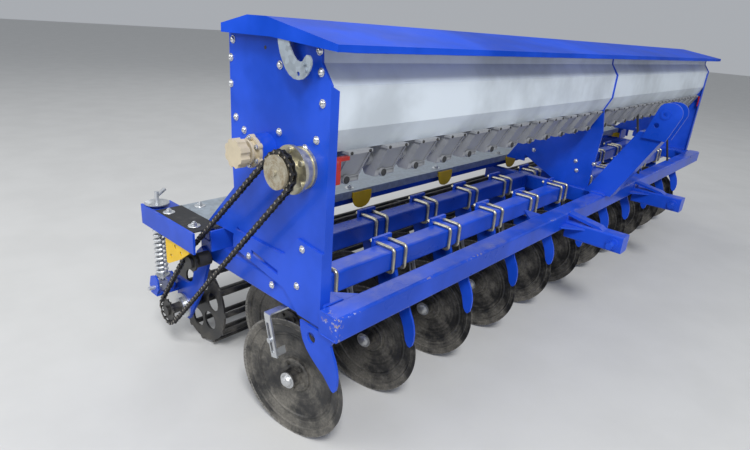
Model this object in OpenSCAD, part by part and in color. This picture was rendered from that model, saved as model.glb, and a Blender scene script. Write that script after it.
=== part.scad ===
// Mounted grain seed drill with an open disc frame, a cage roller and a chain driven meter row

/* [Frame] */

// overall width over the end plates
work_w = 4000; // [3600:10:4400]
// side of the square frame tubes
tube = 80; // [60:1:100]
// height of the underside of the frame tubes above the ground
frame_z = 458; // [430:1:500]
// distance from the front bar to the front cross tube
tube_a_y = 222; // [200:1:240]
// distance from the front bar to the rear cross tube
tube_b_y = 475; // [460:1:500]
// length of the side members behind the front bar
side_len = 680; // [640:1:720]

/* [Hopper] */

// top edge of the hopper walls above the ground
hopper_top_z = 1258; // [1240:1:1262]
// underside of the hopper above the ground
hopper_low_z = 976; // [960:1:1000]
// wall of the hopper sheets
hopper_t = 3; // [2:0.5:4]
// gap between the hopper halves at the middle plate
half_gap = 12; // [10:1:20]

/* [Lid] */

// overhang of the lid past the end plates
lid_over = 30; // [20:1:40]
// sheet of the lid
lid_t = 3; // [2:0.5:4]

/* [Meters] */

// distance between two seed rows
row_pitch = 160; // [125:1:175]
// seed meters in each half of the hopper
half_rows = 12; // [10:1:14]
// height of the feed shaft
feed_z = 926; // [920:1:940]
// place of the feed shaft behind the front bar
feed_y = 190; // [180:1:200]

/* [Discs] */

// outer radius of the soil discs
disc_r = 212; // [200:1:230]
// plate of the soil discs
disc_t = 5; // [4:0.5:6]
// depth of the dish of a disc
dish = 28; // [20:1:35]
// distance between two discs of a row
disc_pitch = 356; // [350:1:358]
// angle of the discs to the driving direction
disc_yaw = 10; // [5:1:15]
// discs of the front row
front_discs = 11; // [9:1:11]
// discs of the rear row
rear_discs = 10; // [8:1:10]
// side offset from a disc to its leg
leg_off = 120; // [110:1:130]

/* [Roller] */

// outer radius of the cage roller
cage_r = 190; // [170:1:200]
// distance from the rear tube to the roller shaft
cage_off = 198; // [190:1:220]
// bars around the roller
cage_bars = 12; // [8:4:16]

/* [Hitch] */

// distance between the middles of the two lower link brackets
link_gap = 960; // [900:1:1010]
// radius of the lower link pins
link_pin_r = 14; // [11:0.5:18.5]
// radius of the top link hole
top_pin_r = 12.7; // [9.5:0.1:16]

/* [Hidden] */

half_w = work_w / 2;
frame_top = frame_z + tube;
side_x = half_w - tube;
front_disc_x = -half_w + 20;
rear_disc_x = front_disc_x + disc_pitch / 2;
front_hub_y = tube_a_y + 4;
rear_hub_y = tube_b_y + 4;
hub_z = disc_r;
link_reach = 270;
rear_w = 60;
rear_y = tube + side_len - rear_w;
cage_y = rear_y + cage_off;
back_y = cage_y + cage_r;
y_shift = (link_reach - back_y) / 2;

blue = [0.06, 0.22, 0.78];
zinc = [0.72, 0.73, 0.74];
pale = [0.74, 0.77, 0.80];
plastic = [0.52, 0.53, 0.55];
black = [0.07, 0.07, 0.08];
yellow = [0.95, 0.74, 0.05];
cream = [0.90, 0.84, 0.68];

// moves a sub-part from the working frame at the front bar to the middle of the base
module place() {
  translate([0, y_shift, 0])
    children();
}

// a plate in the plane of the driving direction, from a (y, z) outline
module side_plate(x, t, pts) {
  translate([x, 0, 0])
    rotate([90, 0, 90])
      linear_extrude(t)
        polygon(pts);
}

// a round bar along x
module bar_x(x0, x1, y, z, r) {
  translate([x0, y, z])
    rotate([0, 90, 0])
      cylinder(h = x1 - x0, r = r, $fn = 48);
}

module block(x0, x1, y0, y1, z0, z1) {
  translate([x0, y0, z0])
    cube([x1 - x0, y1 - y0, z1 - z0]);
}

edge_r = 9;

// corner points of a rounded box outline
function corner(y, z, r, a) = [for (k = [0 : 3]) [y + r * cos(a + 30 * k), z + r * sin(a + 30 * k)]];
function tube_pts(y0, y1, z0, z1, r) = concat(
  corner(y1 - r, z0 + r, r, -90), corner(y1 - r, z1 - r, r, 0),
  corner(y0 + r, z1 - r, r, 90), corner(y0 + r, z0 + r, r, 180));

// a square tube with rounded edges, along x
module tube_x(x0, x1, y0, y1, z0, z1, r = edge_r) {
  side_plate(x0, x1 - x0, tube_pts(y0, y1, z0, z1, r));
}

// the same along y
module tube_y(x0, x1, y0, y1, z0, z1, r = edge_r) {
  translate([0, y1, 0])
    rotate([90, 0, 0])
      linear_extrude(y1 - y0)
        polygon(tube_pts(x0, x1, z0, z1, r));
}

module front_bar() {
  color(blue)
    place() {
      tube_x(-half_w - 20, half_w + 20, 0, tube, frame_z, frame_top);
      for (s = [-1, 1]) {
        translate([s * 620, tube, 0])
          mirror([s > 0 ? 0 : 1, 0, 0])
            gusset(110, 90);
        translate([s * side_x, tube, 0])
          mirror([s > 0 ? 1 : 0, 0, 0])
            gusset(70, 70);
      }
    }
}

// thin round stays of the far half, from the front bar up between the meters to the hopper
module stay_rods() {
  color(black)
    place()
      for (x = [690, 1337])
        difference() {
          translate([x, tube - 24, frame_top - 20])
            rotate([-14, 0, 0])
              cylinder(h = 490, r = 7, $fn = 24);
          block(x - 20, x + 20, 0, 300, hopper_low_z, 1100);
          block(x - 20, x + 20, 0, 300, frame_top - 60, frame_top);
        }
}

// a flat triangle in the corner behind the front bar
module gusset(a, b) {
  translate([0, -1, frame_top - 22])
    linear_extrude(12)
      polygon([[0, 0], [a, 0], [a, 6], [8, b], [0, b]]);
}

module side_members() {
  color(blue)
    place()
      for (s = [-1, 1])
        tube_y(s < 0 ? -half_w : side_x, s < 0 ? -side_x : half_w, tube, tube + side_len, frame_z, frame_top);
}

module cross_tubes() {
  color(blue)
    place() {
      tube_x(-side_x, side_x, tube_a_y, tube_a_y + tube, frame_z, frame_top);
      tube_x(-side_x, side_x, tube_b_y, tube_b_y + tube, frame_z, frame_top);
    }
}

board_z = 612;

module rear_tube() {
  color(blue)
    place()
      tube_x(-half_w, half_w, rear_y, rear_y + rear_w, frame_top, board_z, 7);
}

plate_t = 8;
flange = 30;
flange_t = 5;
plate_front = 90;
plate_back = 541;
plate_top = hopper_top_z - 2;

lid_x = half_w + lid_over;
lid_low = hopper_top_z;
lid_rise = 50;
lid_top = lid_low + lid_rise;
lid_front = 41;
lid_back = 578;
lid_flat0 = 320;
lid_flat1 = 405;
lid_rear_z = lid_low + 14;

seat_gap = 0.3;
feed_r = 11;
plate_pts = [
  [132, plate_top], [128, 1208], [plate_front, 1158], [plate_front, frame_top],
  [300, frame_top], [527, 652], [plate_back, 900], [plate_back, plate_top]
];

// bore of the feed shaft through a plate
module feed_bore() {
  bar_x(-half_w - 20, half_w + 20, feed_y, feed_z, feed_r + seat_gap);
}

module end_plates() {
  color(blue)
    place()
      difference() {
        for (s = [-1, 1]) {
          x0 = s < 0 ? -half_w : half_w - plate_t;
          x1 = s < 0 ? -half_w - plate_t : half_w;
          side_plate(x0, plate_t, plate_pts);
          translate([0, plate_front + flange_t, 0])
            rotate([90, 0, 0])
              linear_extrude(flange_t)
                polygon([
                  [s * half_w, frame_top], [s * (half_w - flange), frame_top], [s * (half_w - flange), 1143],
                  [s * half_w, 1158]
                ]);
          side_plate(x1, plate_t, [
            [plate_front, frame_z + 8], [plate_front, 700], [200, 712], [262, 640], [524, 640], [535, 604],
            [535, 572], [262, 528], [228, 500], [190, frame_z + 8]
          ]);
          side_plate(x0, plate_t, [[520, 780], [535, 780], [rear_y, board_z + 4], [520, board_z + 4]]);
          bar_x(s < 0 ? -half_w - knob_boss : half_w, s < 0 ? -half_w : half_w + 5, knob_y, knob_z, 49);
        }
        feed_bore();
        for (x = [-half_w - plate_t - 1, half_w - 1])
          translate([x, 0, 0])
            rotate([90, 0, 90])
              linear_extrude(plate_t + 2)
                polygon([[290, 560], [430, 582], [430, 598], [290, 576]]);
      }
}

mid_w = 40;

module middle_plate() {
  color(blue)
    place()
      difference() {
        union() {
          side_plate(-plate_t / 2, plate_t, [
            [132, plate_top], [128, 1208], [90, 1158], [90, 1042], [120, hopper_low_z], [100, 860],
            [118, frame_top + 0.2], [300, frame_top + 0.2], [527, 652], [plate_back, 900],
            [plate_back, plate_top]
          ]);
          side_plate(-plate_t / 2, plate_t, [
            [520, 780], [535, 780], [rear_y - 60, board_z + 0.2], [520, board_z + 0.2]
          ]);
        }
        feed_bore();
      }
}

// short tubes between the long ones below the middle plate
module middle_member() {
  color(blue)
    place() {
      tube_y(-mid_w / 2, mid_w / 2, tube, tube_a_y, frame_z, frame_top, 5);
      tube_y(-mid_w / 2, mid_w / 2, tube_a_y + tube, tube_b_y, frame_z, frame_top, 5);
      tube_y(-mid_w / 2, mid_w / 2, tube_b_y + tube, rear_y + 60, frame_z, frame_top, 5);
    }
}

hop_out = [
  [136, hopper_top_z], [132, 1208], [96, 1155], [96, 1042], [126, hopper_low_z],
  [178, hopper_low_z], [536, 1176], [536, hopper_top_z]
];
hop_in = [
  [136 + hopper_t, hopper_top_z], [132 + hopper_t, 1208 - 1], [96 + hopper_t, 1155 - 1],
  [96 + hopper_t, 1042 + 1], [125 + hopper_t, hopper_low_z + hopper_t],
  [177, hopper_low_z + hopper_t], [536 - hopper_t, 1178], [536 - hopper_t, hopper_top_z]
];
fold_gap = 0.1;

// outline of the flat panel between two folds of the trough
function panel_pts(k) = let (e = (hop_out[k + 1] - hop_out[k]) / norm(hop_out[k + 1] - hop_out[k]) * fold_gap)
  [hop_out[k] + e, hop_out[k + 1] - e, hop_in[k + 1] - e, hop_in[k] + e];

// one half of the hopper, open at the top: a trough of seven flat panels between two end walls
module hopper_half(x0, x1) {
  for (x = [x0, x1 - hopper_t])
    side_plate(x, hopper_t, hop_out);
  for (k = [0 : len(hop_out) - 2])
    side_plate(x0 + hopper_t + fold_gap, x1 - x0 - 2 * hopper_t - 2 * fold_gap, panel_pts(k));
}

module hopper_left() {
  color(pale)
    place()
      hopper_half(-half_w + plate_t, -half_gap / 2);
}

module hopper_right() {
  color(pale)
    place()
      hopper_half(half_gap / 2, half_w - plate_t);
}

lid_cut = 536;
// height of the rear slope of the lid at a distance y
function lid_z(y) = lid_top - (y - lid_flat1) * (lid_top - lid_rear_z) / (lid_back - lid_flat1);
// outline of the lid that ends at the distance back
function lid_out(back) = [
  [lid_front, lid_low - 17], [lid_front, lid_low], [lid_flat0, lid_top], [lid_flat1, lid_top],
  [back, lid_z(back)], [back, lid_low - 2], [300, lid_low]
];
function lid_in(back) = [
  [lid_front + lid_t, lid_low - 40], [lid_front + lid_t, lid_low - 2], [lid_flat0, lid_top - lid_t],
  [lid_flat1, lid_top - lid_t], [back - lid_t, lid_z(back) - 2], [back - lid_t, lid_low - 40]
];
hinge_y = 556;
hinge_z = lid_low + 4;
hinge_r = 5;
hinge_at = [-1700, -690, -60, 560, 1580];

// the hinge brackets on the hopper's rear wall, each with its pin
module lid_hinges() {
  color(blue)
    place()
      for (x = hinge_at) {
        translate([0, 0, lid_low])
          side_plate(x, 30, [
            [536, -32], [540, -32], [540, -20], [548, -10.5], [556, -9], [563, -4], [565, 4], [563, 10],
            [550, 11], [544, 0], [536, 0]
          ]);
        bar_x(x + 30, x + 86, hinge_y, hinge_z, hinge_r);
      }
}

module lid() {
  color(blue)
    place()
      difference() {
        union() {
          difference() {
            union() {
              side_plate(-lid_x, 2 * lid_x, lid_out(lid_cut));
              side_plate(-half_w, 2 * half_w, lid_out(lid_back));
            }
            side_plate(-lid_x + lid_t, 2 * lid_x - 2 * lid_t, lid_in(lid_cut));
            side_plate(-half_w + lid_t, 2 * half_w - 2 * lid_t, lid_in(lid_back));
          }
          for (x = hinge_at)
            side_plate(x + 40, 30, [
              [hinge_y - 9, hinge_z - 9], [hinge_y + 9, hinge_z - 9], [lid_back - 2, hinge_z - 2],
              [lid_back - 2, lid_rear_z - 1], [hinge_y - 9, lid_z(hinge_y - 9) - 1.5]
            ]);
        }
        for (x = hinge_at)
          bar_x(x + 39, x + 71, hinge_y, hinge_z, hinge_r + seat_gap);
      }
}

// a sickle shaped hook that hangs from the end of the lid, with two pins and a hole
module hook(x, s) {
  difference() {
    side_plate(x, 4, [
      [274, 30], [275, 12], [271, -14], [264, -36], [253, -56], [240, -74], [224, -88], [205, -96],
      [186, -97], [168, -93], [153, -83], [142, -69], [136, -55], [137, -43], [144, -34], [156, -33],
      [165, -41], [172, -50], [182, -52], [196, -48], [210, -36], [222, -18], [228, 4], [232, 26]
    ]);
    bar_x(x - 1, x + 5, 187, -82, 6);
  }
  for (p = [[162, -56], [155, -70]])
    bar_x(s < 0 ? x - 8 : x, s < 0 ? x + 4 : x + 12, p[0], p[1], 5);
}

module lid_hooks() {
  color(zinc)
    place()
      for (s = [-1, 1])
        translate([0, 0, lid_low])
          hook(s < 0 ? -lid_x + lid_t : lid_x - lid_t - 4, s);
}

meter_low = 870;
first_meter = 122;
meter_side = [[112, hopper_low_z], [108, 966], [150, 890], [160, 890], [160, hopper_low_z]];

// one seed meter housing: slanted chute between two ribs, round outlet and window below, hub on the shaft
module meter(x) {
  translate([x, 0, 0])
    difference() {
      union() {
        side_plate(-30, 90, [
          [112, hopper_low_z], [112, 966], [154, 890], [150, 890], [152, meter_low + 3], [156, meter_low],
          [192, meter_low], [199, 876], [214, 905], [222, 940], [206, hopper_low_z]
        ]);
        for (u = [-30, 53])
          side_plate(u, 7, meter_side);
        side_plate(-34, 98, [
          [104, hopper_low_z - 8], [104, hopper_low_z], [206, hopper_low_z], [206, hopper_low_z - 8]
        ]);
        translate([0, 142, 883])
          rotate([-90, 0, 0])
            cylinder(h = 14, r = 13, $fn = 32);
        bar_x(-44, -30, feed_y, feed_z, 26);
      }
      bar_x(-48, 64, feed_y, feed_z, feed_r + seat_gap);
      bar_x(-45, -41, feed_y, feed_z, 19);
      translate([0, 141, 883])
        rotate([-90, 0, 0])
          cylinder(h = 9, r = 8, $fn = 32);
      block(18, 58, 146, 156, 873, 888);
    }
}

module seed_meters() {
  color(plastic)
    place()
      for (s = [-1, 0])
        for (k = [0 : half_rows - 1])
          meter(s * half_w + first_meter + row_pitch * k);
}

sprocket_x = -half_w - 78;

teeth = 14;
root_r = 41;
tooth_r = 49.2;
pitch_r = 54;
roller_r = 4.2;
idler_y = rear_y - 10;
idler_z = 478;
idler_r = 34;
cage_z = cage_r;

// outline of a sprocket with short teeth below the rollers of the chain
tooth_pts = [[0, root_r], [0.3, root_r], [0.44, tooth_r], [0.56, tooth_r], [0.7, root_r]];
function sprocket_pts() = [
  for (k = [0 : teeth - 1])
    for (q = tooth_pts)
      [q[1] * cos((k + q[0]) * 360 / teeth), q[1] * sin((k + q[0]) * 360 / teeth)]
];

module sprocket(x0, t) {
  translate([x0, 0, 0])
    rotate([90, 0, 90])
      linear_extrude(t)
        polygon(sprocket_pts());
}

module feed_shaft() {
  color(zinc)
    place() {
      bar_x(sprocket_x - 16, half_w + 6, feed_y, feed_z, feed_r);
      translate([0, feed_y, feed_z])
        sprocket(sprocket_x - 3, 6);
      bar_x(sprocket_x - 15, sprocket_x - 3, feed_y, feed_z, 24);
      bar_x(sprocket_x - 20, sprocket_x - 12, feed_y, feed_z, 47);
      bar_x(sprocket_x - 26, sprocket_x - 20, feed_y, feed_z, 9);
    }
}

module drive_housing() {
  color(zinc)
    place() {
      difference() {
        union() {
          bar_x(-half_w - 8, -half_w, feed_y, feed_z, 60);
          bar_x(-half_w - 36, -half_w - 8, feed_y, feed_z, 56);
          bar_x(-half_w - 46, -half_w - 36, feed_y, feed_z, 68);
          bar_x(-half_w - 58, -half_w - 46, feed_y, feed_z, 36);
        }
        bar_x(-half_w - 61, -half_w + 1, feed_y, feed_z, feed_r + seat_gap);
      }
      for (a = [30 : 60 : 330])
        bar_x(-half_w - 53, -half_w - 46, feed_y + 56 * cos(a), feed_z + 56 * sin(a), 8);
    }
}

// tangent polygon of the chain: the middle line over the two sprockets and the idler
link_r = idler_r + roller_r + seat_gap;
chain_c = [[feed_y, feed_z, pitch_r], [cage_y, cage_z, pitch_r], [idler_y, idler_z, link_r]];

function heading(a, b) = atan2(b[1] - a[1], b[0] - a[0]);
function span(a, b) = norm([b[0] - a[0], b[1] - a[1]]);
// direction of the normal at the outer tangent from circle a to circle b
function tan_dir(a, b) = heading(a, b) - acos((a[2] - b[2]) / span(a, b));
function on_c(c, a) = [c[0] + c[2] * cos(a), c[1] + c[2] * sin(a)];
function arc_c(c, a0, a1) = [for (k = [0 : 24]) on_c(c, a0 + (a1 - a0) * k / 24)];
function wrap(a, b) = b < a ? b + 360 : b;

t01 = tan_dir(chain_c[0], chain_c[1]);
t12 = tan_dir(chain_c[1], chain_c[2]);
t20 = tan_dir(chain_c[2], chain_c[0]);
chain_line = concat(
  arc_c(chain_c[0], t20, wrap(t20, t01)),
  arc_c(chain_c[1], t01, wrap(t01, t12)),
  arc_c(chain_c[2], t12, wrap(t12, t20)));
chain_n = len(chain_line);
function sum_to(k) = k == 0 ? 0 : sum_to(k - 1) + norm(chain_line[k] - chain_line[k - 1]);
chain_s = [for (k = [0 : chain_n - 1]) sum_to(k)];
chain_len = chain_s[chain_n - 1] + norm(chain_line[0] - chain_line[chain_n - 1]);
links = 2 * round(chain_len / 2 / 24);
// point of the middle line at the length u from its start
function seg_of(u) = max([for (k = [0 : chain_n - 1]) if (chain_s[k] <= u) k]);
function chain_at(u) = let (k = seg_of(u), a = chain_line[k], b = chain_line[(k + 1) % chain_n],
  d = norm(b - a), w = (u - chain_s[k]) / max(d, 0.001)) a + (b - a) * w;
chain_p = [for (k = [0 : links - 1]) chain_at(k * chain_len / links)];

// a plate of a link between two pins, as an eight-cornered outline
function link_pts(a, b, h) = let (d = (b - a) / norm(b - a), n = [-d[1], d[0]]) [
  a - d * h * 0.9 - n * h * 0.45, a - d * h * 0.9 + n * h * 0.45, a + n * h,
  a + (b - a) / 2 + n * h * 0.7, b + n * h,
  b + d * h * 0.9 + n * h * 0.45, b + d * h * 0.9 - n * h * 0.45, b - n * h,
  a + (b - a) / 2 - n * h * 0.7, a - n * h];

module drive_chain() {
  color(black)
    place()
      for (k = [0 : links - 1]) {
        a = chain_p[k];
        b = chain_p[(k + 1) % links];
        gap = k % 2 == 0 ? 4.5 : 6.5;
        for (s = [-1, 1])
          side_plate(sprocket_x + (s < 0 ? -gap - 2 : gap), 2, link_pts(a, b, 7));
        translate([sprocket_x - 9.5, a[0], a[1]])
          rotate([0, 90, 0])
            cylinder(h = 19, r = roller_r, $fn = 8);
      }
}

module chain_idler() {
  color(black)
    place() {
      bar_x(-half_w - 92, -half_w - arm_t, idler_y, idler_z, 12);
      bar_x(sprocket_x - 3, sprocket_x + 3, idler_y, idler_z, idler_r);
      bar_x(sprocket_x - 14, sprocket_x - 3, idler_y, idler_z, 22);
      bar_x(-half_w - 60, -half_w - arm_t, idler_y, idler_z, 26);
    }
}

knob_y = 355;
knob_z = 944;
knob_boss = 46;

module rate_knob() {
  color(cream)
    place()
      translate([-half_w - knob_boss, knob_y, knob_z])
        rotate([0, -90, 0]) {
          cylinder(h = 10, r = 43, $fn = 48);
          for (a = [0 : 60 : 300])
            rotate([0, 0, a])
              translate([40, 0, 0])
                cylinder(h = 14, r = 9, $fn = 24);
          translate([0, 0, 10])
            cylinder(h = 14, r = 32, $fn = 48);
          translate([0, 0, 24])
            cylinder(h = 6, r = 37, $fn = 48);
          translate([0, 0, 30])
            cylinder(h = 10, r = 24, $fn = 48);
          translate([0, 0, 40])
            difference() {
              cylinder(h = 29, r = 42, $fn = 64);
              for (a = [0 : 45 : 315])
                rotate([0, 0, a])
                  translate([50, 0, -1])
                    cylinder(h = 31, r = 13, $fn = 24);
            }
        }
}

board_y = rear_y - 40;
board_w = 236;

module footboard() {
  color(zinc)
    place() {
      block(-half_w, half_w, board_y, board_y + board_w, board_z, board_z + 4);
      block(-half_w, half_w, board_y, board_y + 3, board_z - 30, board_z);
      block(-half_w, half_w, board_y + board_w - 3, board_y + board_w, board_z - 30, board_z);
    }
}

out_x = half_w + 115;
out_y0 = rear_y - 94;
out_y1 = rear_y + 283;

module outriggers() {
  color(blue)
    place()
      difference() {
        for (s = [-1, 1]) {
          block(s < 0 ? -out_x : out_x - 8, s < 0 ? -out_x + 8 : out_x, out_y0, out_y1,
            frame_top + 6, board_z + 8);
          block(s < 0 ? -half_w - 46 : side_x, s < 0 ? -side_x : half_w + 46, out_y0, out_y0 + 8,
            frame_top, board_z);
          block(s < 0 ? -out_x : half_w, s < 0 ? -half_w : out_x, out_y1 - 8, out_y1, frame_top + 6, board_z);
          block(s < 0 ? -out_x : half_w, s < 0 ? -half_w : out_x, out_y1 - 80, out_y1, board_z - 6, board_z);
        }
        for (s = [-1, 1])
          translate([s * spring_x, spring_y, board_z - 20])
            cylinder(h = 40, r = 8 + seat_gap, $fn = 32);
      }
}

module board_mats() {
  color(black)
    place()
      for (s = [-1, 1])
        block(s < 0 ? -out_x + 8 : half_w, s < 0 ? -half_w : out_x - 8, out_y0 + 22, board_y + board_w,
          board_z, board_z + 4);
}

spring_x = half_w + 70;
spring_y = rear_y + 245;
coil_r = 20;
wire_r = 4.5;
coil_low = 330;
coil_n = 14;

// a coil spring as a tube of round wire with closed ends
module coil(h) {
  steps = coil_n * 14;
  m = 6;
  pts = [for (i = [0 : steps]) for (k = [0 : m - 1])
    let (a = i * 360 / 14, z = wire_r + (h - 2 * wire_r) * i / steps, q = k * 360 / m)
    [(coil_r + wire_r * cos(q)) * cos(a), (coil_r + wire_r * cos(q)) * sin(a), z + wire_r * sin(q)]];
  skin = [for (i = [0 : steps - 1]) for (k = [0 : m - 1])
    [i * m + k, (i + 1) * m + k, (i + 1) * m + (k + 1) % m, i * m + (k + 1) % m]];
  low = [for (k = [0 : m - 1]) k];
  high = [for (k = [0 : m - 1]) steps * m + m - 1 - k];
  polyhedron(points = pts, faces = concat(skin, [low], [high]), convexity = 10);
}

module roller_springs() {
  color(zinc)
    place()
      for (s = [-1, 1])
        translate([s * spring_x, spring_y, coil_low])
          coil(board_z - 6 - coil_low);
}

// rods of the springs, each with an eye below and a dished cap with a crank stub above
module spring_rods() {
  color(zinc)
    place()
      for (s = [-1, 1])
        translate([s * spring_x, spring_y, 0]) {
          translate([0, 0, 272])
            cylinder(h = board_z + 58 - 272, r = 8, $fn = 32);
          translate([0, 0, coil_low - 8])
            cylinder(h = 8, r = 27, $fn = 32);
          translate([-12, -14, 266])
            cube([24, 28, 40]);
          translate([-60, -14, 282])
            rotate([0, 90, 0])
              translate([0, 14, 0])
                cylinder(h = 120, r = 8, $fn = 32);
          translate([0, 0, board_z])
            rotate_extrude($fn = 48)
              polygon([[8, 0], [26, 0], [30, 4], [44, 13], [44, 16], [29, 8], [8, 7]]);
          translate([0, 0, board_z + 40])
            rotate([0, 68, s < 0 ? 20 : 160])
              cylinder(h = 46, r = 7, $fn = 24);
        }
}

shaft_r = 20;
arm_t = 12;

module roller_arms() {
  color(blue)
    place()
      for (s = [-1, 1])
        difference() {
          union() {
            translate([0, rear_y, 0])
              side_plate(s < 0 ? -half_w - arm_t : half_w, arm_t, [
                [-10, frame_z + 10], [42, frame_z + 44], [76, frame_z + 14], [120, 330], [160, 306],
                [285, 300], [285, 262], [248, 236], [240, 160], [205, 136], [cage_off - 34, 140],
                [cage_off - 60, 180], [60, 300]
              ]);
            translate([0, spring_y, 0]) {
              block(s < 0 ? -half_w - 104 : half_w + arm_t, s < 0 ? -half_w - arm_t : half_w + 104,
                -11, 39, 244, 254);
              for (x = [arm_t + 20, 98])
                side_plate(s < 0 ? -half_w - x - 6 : half_w + x, 6, [
                  [-11, 254], [39, 254], [47, 276], [33, 318], [-5, 334], [-25, 318], [-25, 276]
                ]);
            }
          }
          bar_x(-half_w - 120, half_w + 120, cage_y, cage_z, 34);
          bar_x(-half_w - 120, half_w + 120, spring_y, 282, 8 + seat_gap);
        }
}

module roller_bearings() {
  color(zinc)
    place()
      for (s = [-1, 1])
        difference() {
          union() {
            bar_x(s < 0 ? -half_w - arm_t - 20 : half_w - 8, s < 0 ? -half_w + 8 : half_w + arm_t + 20,
              cage_y, cage_z, 34);
            bar_x(s < 0 ? -half_w - arm_t - 8 : half_w + arm_t, s < 0 ? -half_w - arm_t : half_w + arm_t + 8,
              cage_y, cage_z, 52);
          }
          bar_x(-half_w - 120, half_w + 120, cage_y, cage_z, shaft_r + seat_gap);
        }
}

cage_end = half_w - 60;
cage_bar_r = 11;

module cage_roller() {
  color(black)
    place()
      translate([0, cage_y, cage_z]) {
        sprocket(sprocket_x - 3, 6);
        rotate([0, 90, 0]) {
          translate([0, 0, sprocket_x - 12])
            cylinder(h = half_w + 36 - sprocket_x + 12, r = shaft_r, $fn = 48);
          for (k = [0 : 6])
            translate([0, 0, -cage_end + k * (2 * cage_end - 8) / 6])
              difference() {
                cylinder(h = 8, r = cage_r - cage_bar_r, $fn = 64);
                for (a = [0 : 60 : 300])
                  rotate([0, 0, a + 15])
                    translate([98, 0, -1])
                      cylinder(h = 10, r = 40, $fn = 48);
              }
          for (a = [0 : cage_bars - 1])
            rotate([0, 0, a * 360 / cage_bars])
              translate([cage_r - cage_bar_r, 0, -cage_end])
                cylinder(h = 2 * cage_end, r = cage_bar_r, $fn = 16);
        }
      }
}

cup_pts = [
  [-58, 0], [58, 0], [58, -30], [54, -48], [42, -64], [24, -74], [0, -78], [-24, -74], [-42, -64],
  [-54, -48], [-58, -30]
];

// places of the cups along x, clear of the side members and of the middle member
cup_at = [-1858, -1262, -622, 84, 658, 1298];

// yellow scraper cups below the front edge of the footboard, and a plate with three holes at each end
module yellow_brackets() {
  color(yellow)
    place() {
      for (x = cup_at)
        translate([x, board_y - 5, board_z - 4]) {
          rotate([90, 0, 0])
            linear_extrude(4)
              polygon(cup_pts);
          block(-58, -54, -4, 5, -26, 0);
        }
      for (s = [-1, 1])
        difference() {
          side_plate(s < 0 ? -out_x + 8 : out_x - 14, 6, [
            [out_y0 + 40, frame_top + 22], [board_y + 160, frame_top + 22], [board_y + 160, 438],
            [board_y + 146, 438], [board_y + 58, 484], [board_y - 4, 528]
          ]);
          for (h = [[51, 510], [89, 523], [124, 476]])
            bar_x(-half_w - 120, half_w + 120, board_y + h[0], h[1], 8);
        }
    }
}

mast_w = 90;

mast_tip = [-214, 1010];
top_ring = [-192, 1005];
top_hole = [-163, 948];

module mast() {
  color(blue)
    place() {
      difference() {
        union() {
          translate([-mast_w / 2, 0, 0])
            rotate([90, 0, 90])
              linear_extrude(mast_w)
                polygon([
                  [-25, frame_top], [116, frame_top], [-69, 872], [-87, 905], [-218, 905], [-193, 857]
                ]);
        }
        block(-mast_w / 2 - 1, mast_w / 2 + 1, 0, tube, frame_z, frame_top);
      }
      block(-70, 70, 2, tube - 2, frame_top, frame_top + 10);
      difference() {
        for (s = [-1, 1])
          translate([s < 0 ? -mast_w / 2 - 12 : mast_w / 2, 0, 0])
            rotate([90, 0, 90]) {
              linear_extrude(12)
                polygon([
                  [-109, 878], [-153, 1024], [-160, 1042], [-172, 1054], [-190, 1060], [-214, 1061],
                  [-265, 1010],
                  [-265, 1000], [-220, 875]
                ]);
              translate([mast_tip[0], mast_tip[1], 0])
                cylinder(h = 12, r = 51, $fn = 64);
            }
        bar_x(-100, 100, top_hole[0], top_hole[1], top_pin_r);
        bar_x(-100, 100, top_ring[0], top_ring[1], 10);
      }
      for (s = [-1, 1])
        difference() {
          bar_x(s < 0 ? -mast_w / 2 - 16 : mast_w / 2 + 12, s < 0 ? -mast_w / 2 - 12 : mast_w / 2 + 16,
            top_ring[0], top_ring[1], 24);
          bar_x(-100, 100, top_ring[0], top_ring[1], 10);
        }
    }
}

module link_brackets() {
  color(blue)
    place()
      for (s = [-1, 1]) {
        difference() {
          union() {
            tube_y(s * link_gap / 2 - 40, s * link_gap / 2 + 40, -link_reach, 0,
              frame_z - 40, frame_z + 40, 8);
            bar_x(s * link_gap / 2 - 52, s * link_gap / 2 + 52, -link_reach + 40, frame_z, 26);
          }
          bar_x(s * link_gap / 2 - 60, s * link_gap / 2 + 60, -link_reach + 40, frame_z, link_pin_r + 0.25);
        }
        x0 = s * link_gap / 2;
        side_plate(x0 - 26, 52, [
          [0, frame_top - 14], [0, frame_top - 2], [-150, frame_z + 52], [-172, frame_z + 39],
          [-140, frame_z + 39]
        ]);
        for (q = [-1, 1])
          translate([x0 + q * 39, 0, frame_z + 20])
            linear_extrude(8)
              polygon([[0, 0], [q * 70, 0], [q * 70, -8], [0, -96]]);
      }
}

module link_pins() {
  color(zinc)
    place()
      for (s = [-1, 1])
        difference() {
          bar_x(s * link_gap / 2 - 95, s * link_gap / 2 + 95, -link_reach + 40, frame_z, link_pin_r);
          for (p = [-88, 88])
            translate([s * link_gap / 2 + p, -link_reach + 40, frame_z - 20])
              cylinder(h = 40, r = 4, $fn = 24);
        }
}

horn_t = 8;

horn_front = [
  [20, frame_z], [34, 432], [26, 412], [14, 390], [5, 366], [0, 340], [0, 312], [4, 292], [12, 282], [22, 284]
];
horn_wide = [
  [34, 296], [58, 318], [90, 336], [117, 354], [138, 372], [156, 396], [168, 428], [172, frame_z]
];
horn_slim = [
  [34, 300], [40, 322], [48, 348], [62, 376], [78, 404], [92, 430], [104, frame_z]
];

// pointed plates in front of the front discs, the first one wide with a round hole
module horn_plates() {
  color(blue)
    place()
      for (k = [0 : front_discs - 1])
        difference() {
          side_plate(front_disc_x + k * disc_pitch - 34, horn_t,
            concat(horn_front, k == 0 ? horn_wide : horn_slim));
          bar_x(-half_w - 60, half_w + 60, 118, 420, 18);
        }
}

bolt_gap = 34;
bolt_r = 7;
clamp_t = 14;

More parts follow.
